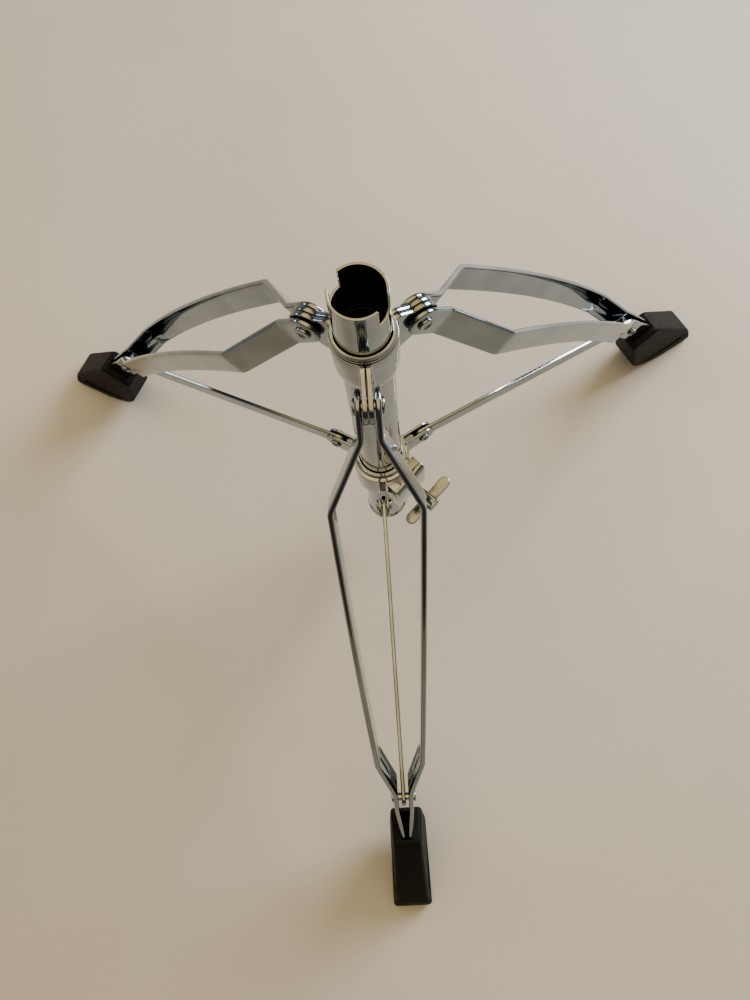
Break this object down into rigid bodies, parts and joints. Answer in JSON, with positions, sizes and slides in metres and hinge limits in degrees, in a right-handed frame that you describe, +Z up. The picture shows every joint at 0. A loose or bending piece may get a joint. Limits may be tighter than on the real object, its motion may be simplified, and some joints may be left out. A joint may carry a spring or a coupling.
{
  "type": "drum stand base",
  "caption": "Folding tripod base of a drum stand: double-strap legs, slotted centre tube, sliding collar with wing screw, tie struts and rubber feet.",
  "frame": {"origin": "on the centre tube's axis, at the underside of its end cap", "axes": "+Z up along the tube, towards its slotted open end; -Y towards the front leg, the one beside the clamp; +X to the right seen from the front"},
  "size_m": [0.4926, 0.4267, 0.349],
  "materials": {
    "chromed_steel": "polished",
    "black_plastic": "matt",
    "nylon": "matt",
    "rubber": "matt"
  },
  "bodies": {
    "tube_and_hub": {"centre_tube": "chromed_steel", "tube_bushing": "black_plastic", "tube_end_cap": "chromed_steel", "hub_ring": "chromed_steel", "hub_plate_front_right": "chromed_steel", "hub_plate_right_left": "chromed_steel", "hub_plate_left_front": "chromed_steel", "hub_pin_front": "chromed_steel", "hub_pin_right": "chromed_steel", "hub_pin_left": "chromed_steel"},
    "collar": {"collar_ring": "chromed_steel", "collar_bushing": "black_plastic", "collar_plate_front_right": "chromed_steel", "collar_plate_right_left": "chromed_steel", "collar_plate_left_front": "chromed_steel", "ear_rivet_front": "chromed_steel", "ear_rivet_right": "chromed_steel", "ear_rivet_left": "chromed_steel", "clamp_nut": "chromed_steel", "clamp_shoe": "nylon"},
    "wing_screw": {"wing_screw": "chromed_steel"},
    "strut_front": {"strut_front": "chromed_steel"},
    "strut_right": {"strut_right": "chromed_steel"},
    "strut_left": {"strut_left": "chromed_steel"},
    "leg_front": {"leg_strap_front_a": "chromed_steel", "leg_strap_front_b": "chromed_steel", "leg_rivet_front_a": "chromed_steel", "leg_rivet_front_b": "chromed_steel", "strut_foot_rivet_front": "chromed_steel", "foot_front": "rubber"},
    "leg_right": {"leg_strap_right_a": "chromed_steel", "leg_strap_right_b": "chromed_steel", "leg_rivet_right_a": "chromed_steel", "leg_rivet_right_b": "chromed_steel", "strut_foot_rivet_right": "chromed_steel", "foot_right": "rubber"},
    "leg_left": {"leg_strap_left_a": "chromed_steel", "leg_strap_left_b": "chromed_steel", "leg_rivet_left_a": "chromed_steel", "leg_rivet_left_b": "chromed_steel", "strut_foot_rivet_left": "chromed_steel", "foot_left": "rubber"}
  },
  "joints": [
    {"name": "collar_slide", "type": "slide", "parent": "tube_and_hub", "child": "collar", "axis": [0, 0, 1], "range_m": [0, 0.06628]},
    {"name": "wing_screw_turn", "type": "hinge", "parent": "collar", "child": "wing_screw", "pos_m": [0.02616, -0.02616, 0.09], "axis": [0.7071, -0.7071, 0], "continuous": true},
    {"name": "strut_front_hinge", "type": "hinge", "parent": "collar", "child": "strut_front", "pos_m": [0, -0.0297, 0.0961], "axis": [1, 0, 0], "range_deg": [0, 62.46]},
    {"name": "leg_front_hinge", "type": "hinge", "parent": "strut_front", "child": "leg_front", "pos_m": [0, -0.20117, 0.0474], "axis": [1, 0, 0], "range_deg": [-30.93, 0]},
    {"name": "strut_right_hinge", "type": "hinge", "parent": "collar", "child": "strut_right", "pos_m": [0.02572, 0.01485, 0.0961], "axis": [-0.5, 0.866, 0], "range_deg": [0, 62.46]},
    {"name": "leg_right_hinge", "type": "hinge", "parent": "strut_right", "child": "leg_right", "pos_m": [0.17422, 0.10058, 0.0474], "axis": [-0.5, 0.866, 0], "range_deg": [-30.93, 0]},
    {"name": "strut_left_hinge", "type": "hinge", "parent": "collar", "child": "strut_left", "pos_m": [-0.02572, 0.01485, 0.0961], "axis": [-0.5, -0.866, 0], "range_deg": [0, 62.46]},
    {"name": "leg_left_hinge", "type": "hinge", "parent": "strut_left", "child": "leg_left", "pos_m": [-0.17422, 0.10058, 0.0474], "axis": [-0.5, -0.866, 0], "range_deg": [-30.93, 0]}
  ],
  "couplings": [
    {"joint": "strut_front_hinge", "follows": "collar_slide", "rad_per_m": 16.441},
    {"joint": "leg_front_hinge", "follows": "collar_slide", "rad_per_m": -8.1403},
    {"joint": "strut_right_hinge", "follows": "collar_slide", "rad_per_m": 16.441},
    {"joint": "leg_right_hinge", "follows": "collar_slide", "rad_per_m": -8.1403},
    {"joint": "strut_left_hinge", "follows": "collar_slide", "rad_per_m": 16.441},
    {"joint": "leg_left_hinge", "follows": "collar_slide", "rad_per_m": -8.1403}
  ]
}
